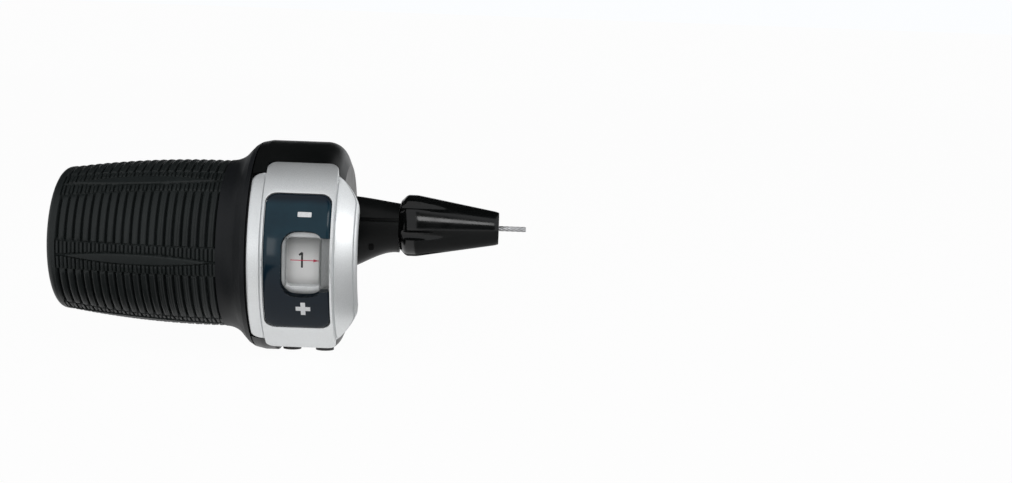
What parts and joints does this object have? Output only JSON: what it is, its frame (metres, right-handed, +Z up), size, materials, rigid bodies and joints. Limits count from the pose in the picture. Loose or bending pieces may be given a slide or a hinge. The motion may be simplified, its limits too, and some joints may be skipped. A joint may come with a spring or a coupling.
{
  "type": "twist grip shifter",
  "caption": "Handlebar twist grip gear shifter: ribbed rubber grip turns a spool that pulls an inner wire, with a number window and a fluted barrel adjuster.",
  "frame": {"origin": "on the handlebar's axis, in the middle of the hub that clamps on the bar", "axes": "+X along the bar towards the stem, -Y towards the rider through the window, +Z up"},
  "size_m": [0.1011, 0.0497, 0.0459],
  "materials": {
    "black_shell": "satin moulded black",
    "silver_paint": "satin silver paint on moulded plastic",
    "lens": "polished clear plastic over a black print",
    "small_steel": "zinc plated",
    "spring_steel": "spring steel",
    "black_steel": "blackened steel",
    "black_inner": "moulded black",
    "brass": "turned",
    "wire": "stranded steel",
    "wire_head": "cast",
    "black_core": "fine matt moulded black",
    "grip_rubber": "moulded ribs",
    "white_inner": "natural moulded",
    "number_silver": "satin silver grey",
    "gloss_black": "glossy moulded black"
  },
  "bodies": {
    "housing": {"housing": "black_shell", "cover": "silver_paint", "lens": "lens", "cover_screws": "black_steel", "retaining_ring": "black_inner", "thrust_washer": "small_steel", "detent_spring": "spring_steel", "clamp_insert": "brass", "clamp_screw": "black_steel", "neck_insert": "brass", "cable_bend": "wire"},
    "twist_grip": {"grip_core": "black_core", "grip_sleeve": "grip_rubber", "spool": "white_inner", "number_drum": "number_silver", "cable_head": "wire_head", "cable_wrap": "wire"},
    "adjuster": {"barrel_adjuster": "gloss_black", "adjuster_stem": "black_steel"},
    "cable": {"cable_end": "wire"}
  },
  "joints": [
    {"name": "grip_twist", "type": "hinge", "parent": "housing", "child": "twist_grip", "pos_m": [0, 0, 0], "axis": [1, 0, 0], "range_deg": [0, 60], "deforming": ["detent_spring", "cable_bend"]},
    {"name": "cable_pull", "type": "slide", "parent": "housing", "child": "cable", "axis": [-1, 0, 0], "range_m": [0, 0.01654], "deforming": ["cable_bend"]},
    {"name": "adjuster_turn", "type": "hinge", "parent": "housing", "child": "adjuster", "pos_m": [0.03, 0.01886, 0.00232], "axis": [1, 0, 0], "continuous": true}
  ],
  "couplings": [
    {"joint": "cable_pull", "follows": "grip_twist", "m_per_rad": 0.0156}
  ]
}
